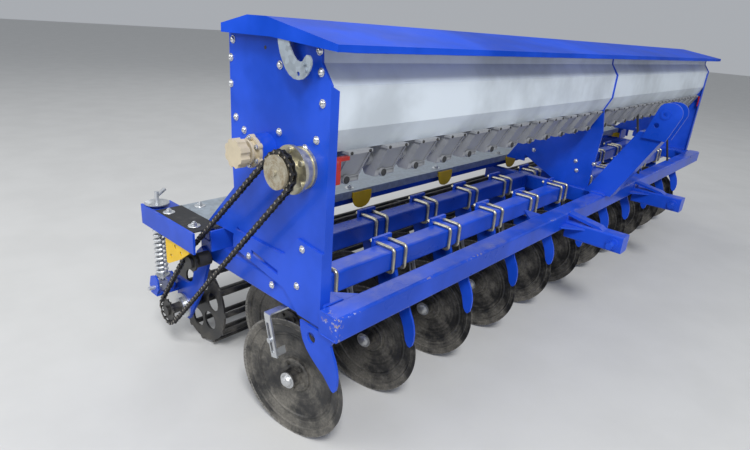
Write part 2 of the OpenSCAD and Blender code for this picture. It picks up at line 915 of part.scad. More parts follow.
// one leg with its clamp plate, saddle and axle stub, hung from a cross tube
module leg(x, y, tube_y) {
  y1 = tube_y + tube;
  difference() {
    union() {
      side_plate(x + leg_off - 8, 16, [
        [tube_y + 6, frame_z], [y1 + clamp_t, frame_z], [y1 + clamp_t, frame_z - 26],
        [y + 66, 340], [y + 62, 260], [y + 56, hub_z - 8], [y + 36, hub_z - 32], [y + 8, hub_z - 36],
        [y - 18, hub_z - 20], [y - 22, hub_z + 10], [y - 6, 280], [y - 2, 360], [tube_y - 4, 430]
      ]);
      block(x + leg_off - 50, x + leg_off + 50, y1, y1 + clamp_t, frame_z - 26, frame_top + 26);
    }
    for (s = [-1, 1])
      for (z = [frame_z - bolt_r - seat_gap, frame_top + bolt_r + seat_gap])
        translate([x + leg_off + s * bolt_gap, y1 - 1, z])
          rotate([-90, 0, 0])
            cylinder(h = clamp_t + 2, r = bolt_r + seat_gap, $fn = 32);
  }
  side_plate(x + leg_off - 16, 32, [
    [tube_y - 5, frame_z + 6], [tube_y - 5, frame_top - 4], [tube_y + 4, frame_top + 5], [y1, frame_top + 5],
    [y1, frame_top + 0.5], [tube_y + 6, frame_top + 0.5], [tube_y - 0.5, frame_top - 6],
    [tube_y - 0.5, frame_z + 6]
  ]);
  translate([x, y, hub_z])
    rotate([0, 0, disc_yaw])
      rotate([0, 90, 0])
        translate([0, 0, 24])
          cylinder(h = leg_off - 12, r = 17.5, $fn = 48);
}

module front_legs() {
  color(blue)
    place()
      for (k = [0 : front_discs - 1])
        leg(front_disc_x + k * disc_pitch, front_hub_y, tube_a_y);
}

module rear_legs() {
  color(blue)
    place()
      for (k = [0 : rear_discs - 1])
        leg(rear_disc_x + k * disc_pitch, rear_hub_y, tube_b_y);
}

bend_r = 14;

// one U-bolt around a cross tube, with its two nuts behind the clamp plate
module u_bolt(x, tube_y) {
  y0 = tube_y - bolt_r - seat_gap;
  y1 = tube_y + tube + clamp_t;
  z0 = frame_z - bolt_r - seat_gap;
  z1 = frame_top + bolt_r + seat_gap;
  translate([x, 0, 0]) {
    translate([0, y0, z0 + bend_r])
      cylinder(h = z1 - z0 - 2 * bend_r, r = bolt_r, $fn = 24);
    for (z = [z0, z1])
      translate([0, y0 + bend_r, z])
        rotate([-90, 0, 0]) {
          cylinder(h = y1 + 16 - y0 - bend_r, r = bolt_r, $fn = 24);
          translate([0, 0, y1 - y0 - bend_r])
            cylinder(h = 9, r = 11, $fn = 6);
        }
    translate([0, y0 + bend_r, z1 - bend_r])
      mirror([0, 0, 1])
        rotate([0, -90, 0])
          rotate([0, 0, 180])
            rotate_extrude(angle = 90, $fn = 32)
              translate([bend_r, 0])
                circle(r = bolt_r, $fn = 24);
    translate([0, y0 + bend_r, z0 + bend_r])
      rotate([0, -90, 0])
        rotate([0, 0, 180])
          rotate_extrude(angle = 90, $fn = 32)
            translate([bend_r, 0])
              circle(r = bolt_r, $fn = 24);
  }
}

module tube_u_bolts() {
  color(zinc)
    place() {
      for (s = [-bolt_gap, bolt_gap]) {
        for (k = [0 : front_discs - 1])
          u_bolt(front_disc_x + k * disc_pitch + leg_off + s, tube_a_y);
        for (k = [0 : rear_discs - 1])
          u_bolt(rear_disc_x + k * disc_pitch + leg_off + s, tube_b_y);
      }
    }
}

module disc_scrapers() {
  color(zinc)
    place()
      for (k = [0 : front_discs - 1])
        translate([front_disc_x + k * disc_pitch, front_hub_y, 0]) {
          block(-66, leg_off - 8, 50, 74, 436, 442);
          difference() {
            side_plate(-72, 6, [[44, 442], [74, 442], [74, 430], [34, 296], [6, 304], [44, 430]]);
            side_plate(-73, 8, [[52, 412], [64, 409], [34, 312], [22, 315]]);
          }
          bar_x(-80, -66, 40, 356, 9);
          side_plate(-66, 46, [[32, 318], [36, 317], [30, 292], [26, 293]]);
        }
}

module reflectors() {
  color([0.75, 0.05, 0.04])
    place()
      for (s = [-1, 1]) {
        x0 = s < 0 ? -half_w + 15 : half_w - 52;
        block(x0, x0 + 37, plate_front + flange_t, plate_front + flange_t + 6, 893, 968);
        block(s < 0 ? -half_w + 15 : half_w - 52, s < 0 ? -half_w + 84 : half_w - 15,
          plate_front + flange_t, plate_front + flange_t + 12, 957, 968);
      }
}

// a dished soil disc with two pressed rings, its hub, hub cap and hub bolts, turning about local x
module soil_disc(x, y) {
  translate([x, y, hub_z])
    rotate([0, 0, disc_yaw])
      rotate([0, 90, 0])
        difference() {
          union() {
            rotate_extrude($fn = 96)
              polygon([
                [0, -58], [8, -57], [16, -53], [20, -47], [20, -43], [27, -43], [30, -40], [30, -10],
                [56, -10],
                [60, -6], [60, 0], [100, -3], [146, -9], [150, -13], [154, -13], [158, -11], [184, -18],
                [188, -22], [192, -21], [disc_r, -dish], [disc_r, -dish + 2.5], [192, -21 + disc_t],
                [188, -22 + disc_t], [184, -18 + disc_t], [158, -11 + disc_t], [154, -13 + disc_t],
                [150, -13 + disc_t], [146, -9 + disc_t], [100, -3 + disc_t], [70, disc_t],
                [60, disc_t], [60, 14], [42, 16], [40, 24], [38, 62], [0, 62]
              ]);
            for (a = [0 : 72 : 288])
              rotate([0, 0, a])
                translate([46, 0, -17])
                  cylinder(h = 8, r = 8, $fn = 6);
          }
          translate([0, 0, 20])
            cylinder(h = 60, r = 18, $fn = 48);
        }
}

module front_disc(k) {
  color(black)
    place()
      soil_disc(front_disc_x + (k - 1) * disc_pitch, front_hub_y);
}

module rear_disc(k) {
  color(black)
    place()
      soil_disc(rear_disc_x + (k - 1) * disc_pitch, rear_hub_y);
}

front_bar();
side_members();
cross_tubes();
rear_tube();
end_plates();
middle_plate();
hopper_left();
hopper_right();
lid();
lid_hooks();
seed_meters();
feed_shaft();
drive_housing();
drive_chain();
chain_idler();
rate_knob();
footboard();
board_mats();
outriggers();
roller_springs();
roller_arms();
cage_roller();
yellow_brackets();
mast();
link_brackets();
link_pins();
horn_plates();
front_legs();
rear_legs();
tube_u_bolts();
disc_scrapers();
reflectors();
lid_hinges();
roller_bearings();
spring_rods();
stay_rods();
middle_member();
front_disc(1);  // front_disc_1
front_disc(2);  // front_disc_2
front_disc(3);  // front_disc_3
front_disc(4);  // front_disc_4
front_disc(5);  // front_disc_5
front_disc(6);  // front_disc_6
front_disc(7);  // front_disc_7
front_disc(8);  // front_disc_8
front_disc(9);  // front_disc_9
front_disc(10);  // front_disc_10
front_disc(11);  // front_disc_11
rear_disc(1);  // rear_disc_1
rear_disc(2);  // rear_disc_2
rear_disc(3);  // rear_disc_3
rear_disc(4);  // rear_disc_4
rear_disc(5);  // rear_disc_5
rear_disc(6);  // rear_disc_6
rear_disc(7);  // rear_disc_7
rear_disc(8);  // rear_disc_8
rear_disc(9);  // rear_disc_9
rear_disc(10);  // rear_disc_10
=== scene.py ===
"""Looks of a mounted seed drill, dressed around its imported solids.

Paint, zinc, plastic and rubber are procedural. Bolts, washers, weld beads and small trim
are surfaces worked out with numpy and joined to a few meshes. All lengths are in metres.
"""

import math

import bpy
import numpy as np
from mathutils import Matrix, Vector


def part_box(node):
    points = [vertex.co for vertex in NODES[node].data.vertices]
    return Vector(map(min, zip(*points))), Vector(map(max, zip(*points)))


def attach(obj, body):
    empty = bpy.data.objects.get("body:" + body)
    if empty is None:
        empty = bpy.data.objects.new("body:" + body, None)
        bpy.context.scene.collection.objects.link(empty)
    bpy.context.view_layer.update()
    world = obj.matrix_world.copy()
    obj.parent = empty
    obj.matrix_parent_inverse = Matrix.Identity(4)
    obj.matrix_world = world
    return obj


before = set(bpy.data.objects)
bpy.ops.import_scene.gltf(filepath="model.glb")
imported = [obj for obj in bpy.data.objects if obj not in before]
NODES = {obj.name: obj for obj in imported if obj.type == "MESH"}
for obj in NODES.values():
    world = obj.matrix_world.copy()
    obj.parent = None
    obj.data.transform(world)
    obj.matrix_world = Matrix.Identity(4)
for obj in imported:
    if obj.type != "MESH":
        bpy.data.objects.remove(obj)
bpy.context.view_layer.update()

X, Y, Z = 0, 1, 2


def low(name, axis):
    """Lowest coordinate of a solid along an axis."""
    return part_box(name)[0][axis]


def high(name, axis):
    """Highest coordinate of a solid along an axis."""
    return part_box(name)[1][axis]


def middle(name, axis):
    """Middle of a solid along an axis."""
    return (low(name, axis) + high(name, axis)) / 2


# Sizes taken from the solids. The drill's working frame has its y at the front face of the front bar.
FRONT_Y = low("front_bar", Y)
HALF_W = high("footboard", X)
BAR_LOW = low("front_bar", Z)
BAR_TOP = high("front_bar", Z)
TUBE = BAR_TOP - BAR_LOW
BAR_END = high("front_bar", X)
INNER_X = high("cross_tubes", X)
CROSS_Y = (low("cross_tubes", Y) - FRONT_Y, high("cross_tubes", Y) - FRONT_Y - TUBE)
LOW_PLATE_X = high("end_plates", X)
BOARD_TOP = high("footboard", Z)
FEED_Y = middle("feed_shaft", Y) - FRONT_Y
FEED_Z = middle("feed_shaft", Z)
CAGE_Y = middle("cage_roller", Y) - FRONT_Y
CAGE_Z = middle("cage_roller", Z)
IDLER_Y = middle("chain_idler", Y) - FRONT_Y
IDLER_Z = middle("chain_idler", Z)
KNOB_Y = middle("rate_knob", Y) - FRONT_Y
KNOB_Z = middle("rate_knob", Z)


# Node helpers
def new_material(name):
    """An empty node material with its tree and its shader."""
    mat = bpy.data.materials.new(name)
    mat.use_nodes = True
    tree = mat.node_tree
    shader = tree.nodes["Principled BSDF"]
    return mat, tree, shader


def node(tree, kind, values=None, **props):
    """A node of that kind with its properties set and its sockets filled by name."""
    made = tree.nodes.new(kind)
    for key, value in props.items():
        setattr(made, key, value)
    for key, value in (values or {}).items():
        made.inputs[key].default_value = value
    return made


def link(tree, source, target):
    """Joins an output to an input."""
    tree.links.new(source, target)


def object_point(tree, centre=(0, 0, 0), turn=(0, 0, 0)):
    """Object coordinates measured from a centre, turned by three angles."""
    coords = node(tree, "ShaderNodeTexCoord")
    mapping = node(tree, "ShaderNodeMapping", vector_type="TEXTURE")
    mapping.inputs["Location"].default_value = centre
    mapping.inputs["Rotation"].default_value = turn
    link(tree, coords.outputs["Object"], mapping.inputs["Vector"])
    return mapping.outputs["Vector"]


def noise(tree, point, scale, detail=4.0, rough=0.55):
    """Cloudy noise in space, between 0 and 1."""
    made = node(tree, "ShaderNodeTexNoise", {"Scale": scale, "Detail": detail, "Roughness": rough})
    link(tree, point, made.inputs["Vector"])
    return made.outputs["Fac"]


def ring_noise(tree, distance, scale, detail):
    """Noise along a distance, which gives rings where the distance is a radius."""
    values = {"Scale": scale, "Detail": detail}
    made = node(tree, "ShaderNodeTexNoise", values, noise_dimensions="1D")
    link(tree, distance, made.inputs["W"])
    return made.outputs["Fac"]


def ramp(tree, source, start, end):
    """A value that goes from 0 at start to 1 at end, smoothly."""
    values = {"From Min": start, "From Max": end}
    made = node(tree, "ShaderNodeMapRange", values, interpolation_type="SMOOTHSTEP")
    link(tree, source, made.inputs["Value"])
    return made.outputs["Result"]


def maths(tree, kind, a, b=None):
    """One operation on a and b, each a number or a socket."""
    made = node(tree, "ShaderNodeMath", operation=kind)
    for socket, value in zip(made.inputs, (a, b)):
        if value is None:
            continue
        if isinstance(value, (int, float)):
            socket.default_value = value
        else:
            link(tree, value, socket)
    return made.outputs["Value"]


def blend(tree, mask, below, above):
    """Colour below where the mask is 0 and above where it is 1; each is a colour or a socket."""
    made = node(tree, "ShaderNodeMix", data_type="RGBA")
    link(tree, mask, made.inputs["Factor"])
    for socket, value in zip((made.inputs[6], made.inputs[7]), (below, above)):
        if isinstance(value, tuple):
            socket.default_value = (*value, 1.0)
        else:
            link(tree, value, socket)
    return made.outputs[2]


def value_blend(tree, mask, below, above):
    """A number below where the mask is 0 and above where it is 1."""
    made = node(tree, "ShaderNodeMapRange", {"To Min": below, "To Max": above})
    link(tree, mask, made.inputs["Value"])
    return made.outputs["Result"]


def bump(tree, shader, height, strength, depth):
    """Roughens the shaded surface by a height between 0 and 1."""
    made = node(tree, "ShaderNodeBump", {"Strength": strength, "Distance": depth})
    link(tree, height, made.inputs["Height"])
    link(tree, made.outputs["Normal"], shader.inputs["Normal"])


def parts_of(tree, point):
    """The three coordinates of a point, or the three channels of a colour."""
    split = node(tree, "ShaderNodeSeparateXYZ")
    link(tree, point, split.inputs["Vector"])
    return split.outputs


def up_facing(tree):
    """0 on walls and undersides, 1 on faces that look up."""
    geometry = node(tree, "ShaderNodeNewGeometry")
    return ramp(tree, parts_of(tree, geometry.outputs["Normal"])[Z], 0.35, 0.95)


def distance_from_axis(tree, point):
    """Distance of a point from the x axis."""
    x, y, z = parts_of(tree, point)
    squares = maths(tree, "ADD", maths(tree, "MULTIPLY", y, y), maths(tree, "MULTIPLY", z, z))
    return maths(tree, "SQRT", squares)


# Finishes
DUST = (0.36, 0.33, 0.29)
PRIMER = (0.30, 0.24, 0.19)
BARE_STEEL = (0.58, 0.58, 0.57)
WHITE_BLOOM = (0.5, 0.49, 0.45)


def edge_wear(tree, point, reach):
    """1 close to the four long edges of the front bar or at its ends, 0 on its flat faces."""
    x, y, z = parts_of(tree, point)
    half = TUBE / 2
    across = maths(tree, "ABSOLUTE", maths(tree, "SUBTRACT", y, FRONT_Y + half))
    height = maths(tree, "ABSOLUTE", maths(tree, "SUBTRACT", z, BAR_LOW + half))
    corner = ramp(tree, maths(tree, "MINIMUM", across, height), half - reach, half - 0.003)
    past = maths(tree, "SUBTRACT", maths(tree, "ABSOLUTE", x), BAR_END - 0.038)
    return maths(tree, "MAXIMUM", corner, ramp(tree, past, 0.012, 0.03))


def chip_mask(tree, point):
    """Small spots in loose groups along the worn edges."""
    spots = ramp(tree, noise(tree, point, 85.0, 4.0, 0.7), 0.56, 0.60)
    groups = ramp(tree, noise(tree, point, 6.0, 2.0), 0.50, 0.60)
    return maths(tree, "MULTIPLY", edge_wear(tree, point, 0.010), maths(tree, "MULTIPLY", spots, groups))


def paint(name, colour, rough=0.3, dust=0.25, chips=0.0, coat=0.12, gloss=0.2):
    """Sprayed paint with a faint orange peel, cloudy dust on top faces and chips on worn edges."""
    mat, tree, shader = new_material(name)
    point = object_point(tree)
    cloud = noise(tree, point, 3.0)
    deep = tuple(0.8 * channel for channel in colour)
    light = tuple(min(1.0, 1.12 * channel + 0.008) for channel in colour)
    body = blend(tree, ramp(tree, cloud, 0.35, 0.65), deep, light)
    drift = ramp(tree, noise(tree, point, 9.0, 8.0, 0.7), 0.42, 0.75)
    settled = maths(tree, "MULTIPLY", up_facing(tree), drift)
    body = blend(tree, maths(tree, "MULTIPLY", settled, dust), body, DUST)
    if chips:
        fine = noise(tree, point, 45.0, 6.0)
        under = blend(tree, ramp(tree, fine, 0.45, 0.6), PRIMER, BARE_STEEL)
        body = blend(tree, maths(tree, "MULTIPLY", chip_mask(tree, point), chips), body, under)
    link(tree, body, shader.inputs["Base Color"])
    sheen = value_blend(tree, ramp(tree, cloud, 0.3, 0.8), rough * 0.9, rough * 1.15)
    link(tree, sheen, shader.inputs["Roughness"])
    shader.inputs["Coat Weight"].default_value = coat
    shader.inputs["Coat Roughness"].default_value = 0.12
    shader.inputs["Specular IOR Level"].default_value = gloss
    bump(tree, shader, noise(tree, point, 60.0, 1.0), 0.05, 0.001)
    return mat


def galvanised(name, colour, rough=0.38, spangle=26.0, dull=0.2, metal=0.85):
    """Zinc with frosty crystal patches of several greys and a dusting of white bloom."""
    mat, tree, shader = new_material(name)
    point = object_point(tree)
    cells = node(tree, "ShaderNodeTexVoronoi", {"Scale": spangle, "Randomness": 1.0})
    link(tree, point, cells.inputs["Vector"])
    tone = parts_of(tree, cells.outputs["Color"])[0]
    dark = tuple(0.82 * channel for channel in colour)
    bright = tuple(min(1.0, 1.1 * channel) for channel in colour)
    bloom = ramp(tree, noise(tree, point, 14.0, 6.0, 0.65), 0.5, 0.78)
    body = blend(tree, tone, dark, bright)
    body = blend(tree, maths(tree, "MULTIPLY", bloom, dull), body, WHITE_BLOOM)
    link(tree, body, shader.inputs["Base Color"])
    shader.inputs["Metallic"].default_value = metal
    spread = maths(tree, "ADD", maths(tree, "MULTIPLY", tone, 0.12), maths(tree, "MULTIPLY", bloom, 0.2))
    link(tree, maths(tree, "ADD", spread, rough - 0.06), shader.inputs["Roughness"])
    bump(tree, shader, noise(tree, point, 90.0, 3.0), 0.15, 0.001)
    return mat


def plastic(name, colour, rough=0.45, mottle=0.12):
    """Moulded plastic: a slow mottle, a fine grain and dust in the hollows."""
    mat, tree, shader = new_material(name)
    point = object_point(tree)
    cloud = ramp(tree, noise(tree, point, 22.0, 5.0), 0.3, 0.7)
    dark = tuple(channel * (1 - mottle) for channel in colour)
    stain = ramp(tree, noise(tree, point, 60.0, 6.0, 0.7), 0.58, 0.75)
    body = blend(tree, cloud, dark, colour)
    body = blend(tree, maths(tree, "MULTIPLY", stain, 0.25), body, DUST)
    link(tree, body, shader.inputs["Base Color"])
    link(tree, value_blend(tree, cloud, rough * 0.85, rough * 1.2), shader.inputs["Roughness"])
    bump(tree, shader, noise(tree, point, 420.0, 2.0), 0.18, 0.0006)
    return mat


def rubber(name):
    """Black matting with a fine pebble grain and grey scuffs."""
    mat, tree, shader = new_material(name)
    point = object_point(tree)
    scuff = ramp(tree, noise(tree, point, 16.0, 8.0, 0.7), 0.5, 0.8)
    body = blend(tree, maths(tree, "MULTIPLY", scuff, 0.5), (0.022, 0.023, 0.026), (0.14, 0.135, 0.125))
    link(tree, body, shader.inputs["Base Color"])
    shader.inputs["Roughness"].default_value = 0.72
    grain = node(tree, "ShaderNodeTexVoronoi", {"Scale": 320.0})
    link(tree, point, grain.inputs["Vector"])
    bump(tree, shader, grain.outputs["Distance"], 0.4, 0.001)
    return mat


DISC_BLACK = (0.012, 0.012, 0.013)
DISC_DUST = (0.19, 0.178, 0.155)
DISC_RIM = (0.30, 0.29, 0.27)
CAP_ZINC = (0.60, 0.61, 0.62)
RIM_START = 0.2065
RIM_END = 0.2095
CAP_DEPTH = 0.0435


def disc_finish(name, centre, yaw, ring_start):
    """Black disc steel with rings of soil dust about its own hub, a bare rim and a zinc hub cap."""
    mat, tree, shader = new_material(name)
    point = object_point(tree, centre, (0, 0, yaw))
    radius = distance_from_axis(tree, point)
    rings = ring_noise(tree, maths(tree, "ADD", radius, ring_start), 140.0, 3.0)
    patch = noise(tree, point, 9.0, 7.0, 0.66)
    fine = noise(tree, point, 120.0, 6.0, 0.7)
    dusty = ramp(tree, maths(tree, "ADD", maths(tree, "MULTIPLY", rings, 0.12), patch), 0.44, 0.70)
    dusty = maths(tree, "MULTIPLY", dusty, value_blend(tree, ramp(tree, fine, 0.3, 0.7), 0.45, 0.95))
    rim = maths(tree, "MULTIPLY", ramp(tree, radius, RIM_START, RIM_END), ramp(tree, fine, 0.35, 0.6))
    outwards = maths(tree, "MULTIPLY", parts_of(tree, point)[X], -1.0)
    cap = ramp(tree, outwards, CAP_DEPTH - 0.0005, CAP_DEPTH + 0.0005)
    body = blend(tree, dusty, DISC_BLACK, DISC_DUST)
    body = blend(tree, rim, body, DISC_RIM)
    body = blend(tree, cap, body, CAP_ZINC)
    link(tree, body, shader.inputs["Base Color"])
    metal = maths(tree, "MAXIMUM", maths(tree, "MULTIPLY", rim, 0.8), maths(tree, "MULTIPLY", cap, 0.9))
    link(tree, metal, shader.inputs["Metallic"])
    link(tree, value_blend(tree, dusty, 0.34, 0.85), shader.inputs["Roughness"])
    relief = maths(tree, "ADD", fine, maths(tree, "MULTIPLY", rings, 0.3))
    bump(tree, shader, relief, 0.15, 0.001)
    return mat


def black_steel(name, dust=0.5):
    """Black rolled steel with soil dust that clings in patches."""
    mat, tree, shader = new_material(name)
    point = object_point(tree)
    patch = ramp(tree, noise(tree, point, 12.0, 8.0, 0.7), 0.42, 0.72)
    body = blend(tree, maths(tree, "MULTIPLY", patch, dust), (0.014, 0.014, 0.015), DISC_DUST)
    link(tree, body, shader.inputs["Base Color"])
    link(tree, value_blend(tree, patch, 0.38, 0.8), shader.inputs["Roughness"])
    bump(tree, shader, noise(tree, point, 110.0, 4.0), 0.2, 0.001)
    return mat


def worn_zinc(name, centre):
    """Zinc that has gone brown and dusty in rings about a shaft."""
    mat, tree, shader = new_material(name)
    point = object_point(tree, centre)
    rings = ring_noise(tree, distance_from_axis(tree, point), 260.0, 2.0)
    patch = noise(tree, point, 40.0, 7.0, 0.7)
    grime = ramp(tree, maths(tree, "ADD", patch, maths(tree, "MULTIPLY", rings, 0.3)), 0.5, 0.8)
    link(tree, blend(tree, grime, (0.46, 0.43, 0.34), (0.24, 0.19, 0.12)), shader.inputs["Base Color"])
    link(tree, value_blend(tree, grime, 0.55, 0.05), shader.inputs["Metallic"])
    link(tree, value_blend(tree, grime, 0.42, 0.85), shader.inputs["Roughness"])
    bump(tree, shader, patch, 0.3, 0.001)
    return mat


BLUE = (0.006, 0.068, 0.58)
PALE = (0.60, 0.66, 0.72)
YELLOW = (0.93, 0.58, 0.015)
ZINC = (0.62, 0.64, 0.66)
COVER_AT = (0.0, FRONT_Y + FEED_Y, FEED_Z)

blue = paint("royal_blue_gloss", BLUE)
bar_blue = paint("royal_blue_chipped", BLUE, chips=0.9)
lid_blue = paint("royal_blue_lid", BLUE, rough=0.45, dust=0.06, coat=0.0, gloss=0.03)
hopper_white = paint("hopper_pale_grey", PALE, rough=0.42, dust=0.15, coat=0.05)
yellow = paint("signal_yellow", YELLOW, rough=0.4, dust=0.2, coat=0.15)
zinc = galvanised("bright_zinc", ZINC)
hot_zinc = galvanised("hot_dip_zinc", (0.34, 0.39, 0.44), rough=0.5, spangle=60.0, metal=0.45)
yellow_zinc = galvanised("passivated_zinc", (0.60, 0.57, 0.44), rough=0.34, spangle=80.0)
pin_steel = galvanised("chain_pin_steel", (0.34, 0.31, 0.27), rough=0.4, spangle=200.0, dull=0.4)
meter_grey = plastic("meter_grey", (0.30, 0.31, 0.33))
knob_cream = plastic("knob_cream", (0.58, 0.50, 0.36), rough=0.55)
# Black rubber of the board mats, also used as the painted shade in the seed meters' outlets
mat_rubber_and_outlet_shade = rubber("mat_rubber_and_outlet_shade")
roller_black = black_steel("roller_black", 0.6)
chain_black = black_steel("chain_black", 0.15)
rod_black = black_steel("rod_black", 0.1)
lens_red = plastic("lens_red", (0.42, 0.010, 0.008), rough=0.2, mottle=0.3)
cover_zinc = worn_zinc("cover_disc_zinc", COVER_AT)
bolt_zinc = galvanised("bolt_zinc", (0.72, 0.73, 0.74), rough=0.26, spangle=180.0, dull=0.1)
# Black steel of the meter screws, also used as the painted shade of the end plates' holes
dark_bolt_and_hole_shade = black_steel("dark_bolt_and_hole_shade", 0.1)
weld_blue = paint("weld_blue", BLUE, rough=0.38, dust=0.1)

BLUE_NODES = (
    "side_members", "cross_tubes", "rear_tube", "end_plates", "middle_plate", "middle_member",
    "outriggers", "roller_arms", "mast", "link_brackets", "link_pins", "horn_plates",
    "front_legs", "rear_legs", "lid_hinges",
)
FINISHES = (
    (blue, BLUE_NODES),
    (bar_blue, ("front_bar",)),
    (lid_blue, ("lid",)),
    (hopper_white, ("hopper_left", "hopper_right")),
    (hot_zinc, ("lid_hooks", "footboard")),
    (zinc, ("roller_springs", "spring_rods", "roller_bearings", "disc_scrapers")),
    (yellow_zinc, ("drive_housing", "tube_u_bolts")),
    (cover_zinc, ("feed_shaft",)),
    (chain_black, ("drive_chain", "chain_idler")),
    (roller_black, ("cage_roller",)),
    (rod_black, ("stay_rods",)),
    (meter_grey, ("seed_meters",)),
    (knob_cream, ("rate_knob",)),
    (mat_rubber_and_outlet_shade, ("board_mats",)),
    (yellow, ("yellow_brackets",)),
    (lens_red, ("reflectors",)),
)


def dress(name, mat):
    """Gives the node its finish; its mesh stays as packed."""
    mesh = NODES[name].data
    mesh.materials.clear()
    mesh.materials.append(mat)


DISC_YAW = math.radians(10)
HUB_Z = 0.212
RING_START = 12.58
RING_STEP = 0.37


def dress_discs():
    """Each disc has dust of its own, because it reads the ring noise a step further on."""
    discs = [name for name in NODES if "_disc_" in name]
    for number, name in enumerate(discs):
        centre = (middle(name, X), middle(name, Y), HUB_Z)
        dress(name, disc_finish(name + "_steel", centre, DISC_YAW, RING_START + RING_STEP * number))


for finish, names in FINISHES:
    for part in names:
        dress(part, finish)
dress_discs()


# Small pieces, worked out with numpy
# A form is (points, quads, fans): an (n, 3) array of points and two arrays of point numbers.


def closed_skin(rings, start, end):
    """Skin over a (rows, columns, 3) grid of points whose columns close on themselves.

    Quad (i, j) joins points (i, j), (i, j + 1), (i + 1, j + 1) and (i + 1, j). A fan of triangles
    joins the first row to the point start, and another the last row to the point end."""
    rows, cols = rings.shape[:2]
    row, col = np.meshgrid(np.arange(rows - 1), np.arange(cols), indexing="ij")
    after = (col + 1) % cols
    corners = (row * cols + col, row * cols + after, (row + 1) * cols + after, (row + 1) * cols + col)
    quads = np.stack(corners, axis=-1).reshape(-1, 4)
    first = np.arange(cols)
    after = (first + 1) % cols
    last = (rows - 1) * cols
    count = rows * cols
    low_fan = np.stack((np.full(cols, count), after, first), axis=-1)
    high_fan = np.stack((np.full(cols, count + 1), last + first, last + after), axis=-1)
    points = np.concatenate((rings.reshape(-1, 3), [start, end]))
    return points, quads, np.concatenate((low_fan, high_fan))


def turned(profile, count=20):
    """Surface of revolution about z: (r cos t, r sin t, h) for each profile pair (r, h).

    The first and last pair lie on the axis, so each pole is one point."""
    profile = np.asarray(profile, float)
    angle = np.arange(count) * 2 * math.pi / count
    radius = profile[1:-1, :1]
    height = np.repeat(profile[1:-1, 1:], count, axis=1)
    rings = np.stack((radius * np.cos(angle), radius * np.sin(angle), height), axis=-1)
    return closed_skin(rings, (0, 0, profile[0, 1]), (0, 0, profile[-1, 1]))


def hexagon(across, bottom, top, chamfer):
    """Six-sided prism about z: a surface of revolution in six steps with its edges broken."""
    r = across / math.sqrt(3)
    return turned([
        (0, bottom), (r - chamfer, bottom), (r, bottom + chamfer),
        (r, top - chamfer), (r - chamfer, top), (0, top),
    ], 6)


RIPPLE = 0.006


def bead(start, end, radius, ripple=RIPPLE, sides=8):
    """Weld bead from start to end.

    A tube whose radius at the way s is r (0.82 + 0.18 |sin(pi s / ripple)|). It thins to 0.3 r at
    both ends and closes there in a point."""
    start = np.asarray(start, float)
    end = np.asarray(end, float)
    length = np.linalg.norm(end - start)
    steps = max(8, int(round(length / ripple)) * 4)
    along = np.linspace(0, 1, steps + 1)[1:-1]
    axis = (end - start) / length
    side = np.cross(axis, (0.31, 0.52, 0.79))
    side /= np.linalg.norm(side)
    other = np.cross(axis, side)
    angle = np.arange(sides) * 2 * math.pi / sides
    taper = np.minimum(1, np.minimum(along, 1 - along) * length / radius + 0.3)
    size = radius * taper * (0.82 + 0.18 * np.abs(np.sin(along * length / ripple * math.pi)))
    around = np.cos(angle)[:, None] * side + np.sin(angle)[:, None] * other
    rings = start + along[:, None, None] * (end - start) + size[:, None, None] * around
    return closed_skin(rings, start, end)


TURN = {
    "+z": np.eye(3),
    "-x": np.array([[0, 0, -1.0], [0, 1.0, 0], [1.0, 0, 0]]),
    "+x": np.array([[0, 0, 1.0], [0, 1.0, 0], [-1.0, 0, 0]]),
    "-y": np.array([[1.0, 0, 0], [0, 0, -1.0], [0, 1.0, 0]]),
}
OUTWARDS = {-1: "-x", 1: "+x"}


def at(form, place, way="+z"):
    """The form with its z axis turned to point that way and its origin put at the place."""
    points, quads, fans = form
    return points @ TURN[way].T + np.asarray(place, float), quads, fans


def piece(name, forms, mat, body="frame", smooth=35):
    """One mesh of all the forms, given in the drill's working frame, riding on a body."""
    counts = [len(points) for points, quads, fans in forms]
    starts = np.cumsum([0] + counts[:-1])
    points = np.concatenate([points for points, quads, fans in forms]) + (0, FRONT_Y, 0)
    quads = np.concatenate([form[1] + start for form, start in zip(forms, starts)])
    fans = np.concatenate([form[2] + start for form, start in zip(forms, starts)])
    data = bpy.data.meshes.new(name)
    data.from_pydata(points.tolist(), [], quads.tolist() + fans.tolist())
    data.shade_smooth()
    data.set_sharp_from_angle(angle=math.radians(smooth))
    data.materials.append(mat)
    made = bpy.data.objects.new(name, data)
    bpy.context.scene.collection.objects.link(made)
    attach(made, body)


# Bolts of the end plates and of the middle plate, as (y, z)
TOP_BOLTS = (
    (0.520, 1.237), (0.532, 1.186), (0.535, 1.110), (0.511, 1.013), (0.469, 0.980), (0.297, 1.005),
    (0.138, 1.012), (0.183, 0.981), (0.119, 1.110), (0.128, 1.186), (0.137, 1.237), (0.296, 1.187),
)
LOW_BOLTS = ((0.175, 0.688), (0.196, 0.561), (0.318, 0.515), (0.442, 0.571))
MIDDLE_BOLTS = ((0.211, 0.679), (0.197, 0.628), (0.470, 0.688), (0.110, 0.683))
# The hole in each end plate below the lid, as (y, z); a flat black disc there is painted shade
HOLE_SHADE_AT = (0.363, 1.227)


def plate_bolts():
    """Domed bolts with a thin washer and a small socket in the crown."""
    dome = turned([
        (0, 0), (0.0115, 0), (0.0115, 0.0018), (0.0090, 0.0020), (0.0088, 0.0038), (0.0076, 0.0062),
        (0.0050, 0.0078), (0.0034, 0.0080), (0.0031, 0.0050), (0, 0.0048),
    ], 24)
    bolts = []
    for side, way in OUTWARDS.items():
        bolts += [at(dome, (side * HALF_W, y, z), way) for y, z in TOP_BOLTS]
        bolts += [at(dome, (side * LOW_PLATE_X, y, z), way) for y, z in LOW_BOLTS]
        bolts += [at(dome, (side * high("middle_plate", X), y, z), way) for y, z in MIDDLE_BOLTS]
    piece("plate_bolts", bolts, bolt_zinc)


